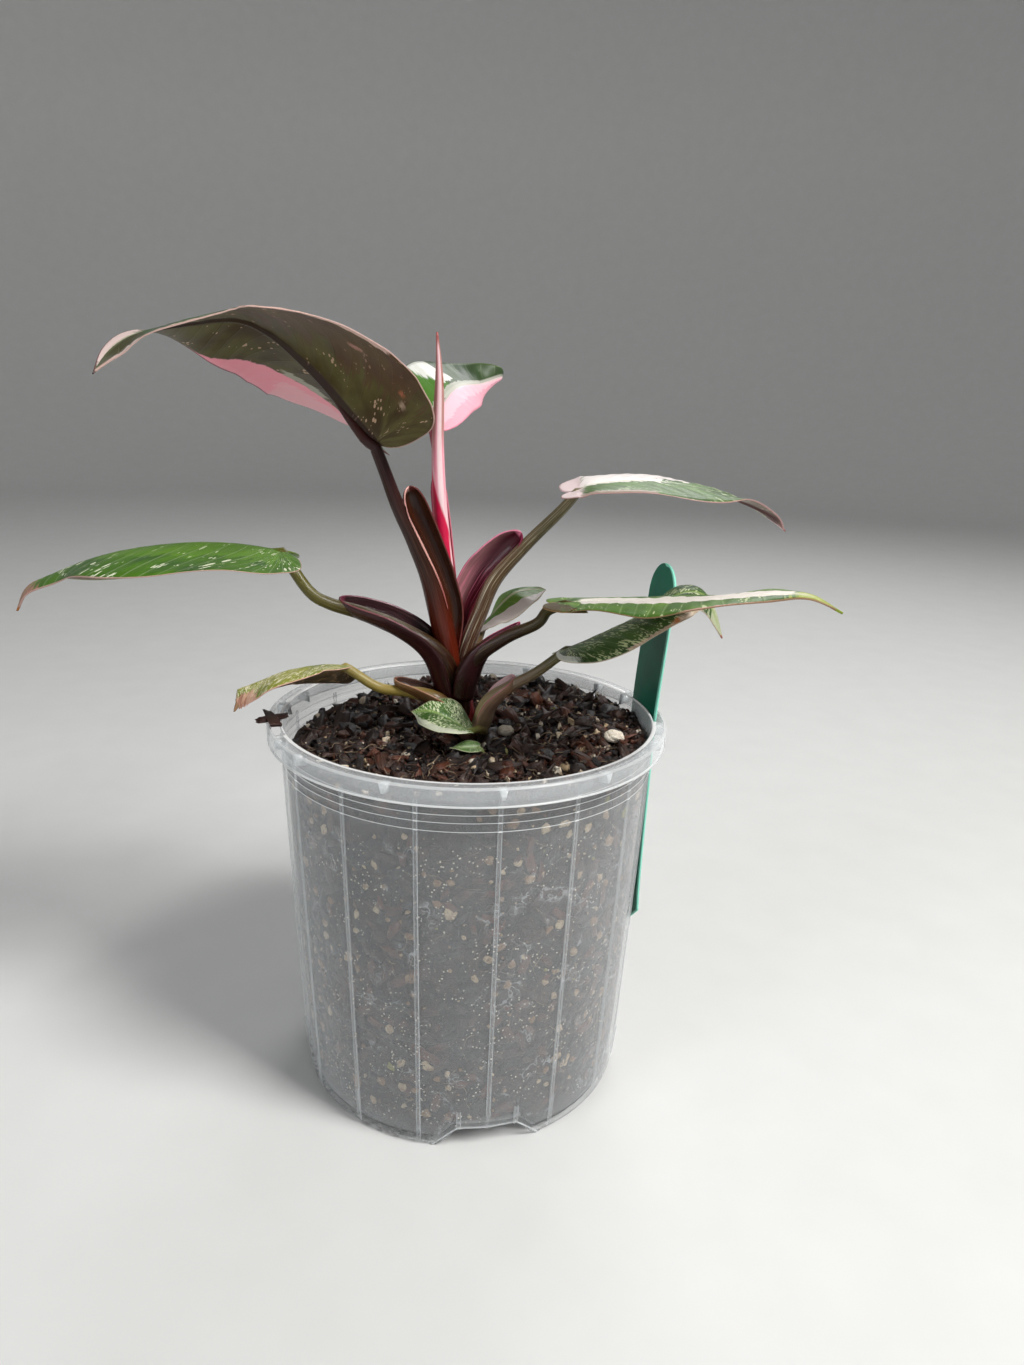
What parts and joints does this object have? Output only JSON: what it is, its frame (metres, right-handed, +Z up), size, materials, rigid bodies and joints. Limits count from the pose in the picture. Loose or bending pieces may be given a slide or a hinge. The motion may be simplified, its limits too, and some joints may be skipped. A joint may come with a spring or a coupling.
{
  "type": "pink princess philodendron in a nursery pot",
  "caption": "Young pink princess philodendron with marbled green, cream and pink leaves on dark maroon stalks, in a clear nursery pot of bark mix with a green label.",
  "frame": {"origin": "centre of the pot's underside, on the surface that it stands on", "axes": "+Z up; -Y to the front, where the two smallest leaves are; +X to the side where the label stands"},
  "size_m": [0.2204, 0.1276, 0.2278],
  "materials": {
    "clear_plastic": "translucent, faintly hazed, moulded polypropylene",
    "label_plastic": "satin dark green sheet with paler cut edges",
    "soil": "loose dark potting mix with bark chips, fibres and grit",
    "bark": "rough red-brown bark",
    "perlite": "rough, chalky, cream white",
    "stalk": "smooth, glossy, dark maroon brown with magenta edges",
    "leaf_green": "waxy green with pale flecks, cream patches and pinkish rims",
    "leaf_pink": "waxy, half pink and half green or cream",
    "leaf_underside": "satin olive bronze with beige and pink flecks and a pink strip"
  },
  "bodies": {
    "root": {"pot": "clear_plastic", "crown_stem": "stalk", "leaf_old_left": "leaf_green", "leaf_low_right": "leaf_green", "leaf_right_front": "leaf_green", "leaf_left": "leaf_green", "leaf_upper_right": "leaf_green", "leaf_back": "leaf_pink", "leaf_back_right": "leaf_green", "leaf_top_left": "leaf_underside", "leaf_small_round": "leaf_green", "leaf_smallest": "leaf_green", "new_leaf_rolled": "leaf_pink", "soil": "soil", "perlite_lump_right": "perlite", "perlite_lump_middle": "perlite", "plant_label": "label_plastic", "bark_chip_on_rim": "bark"}
  },
  "joints": []
}
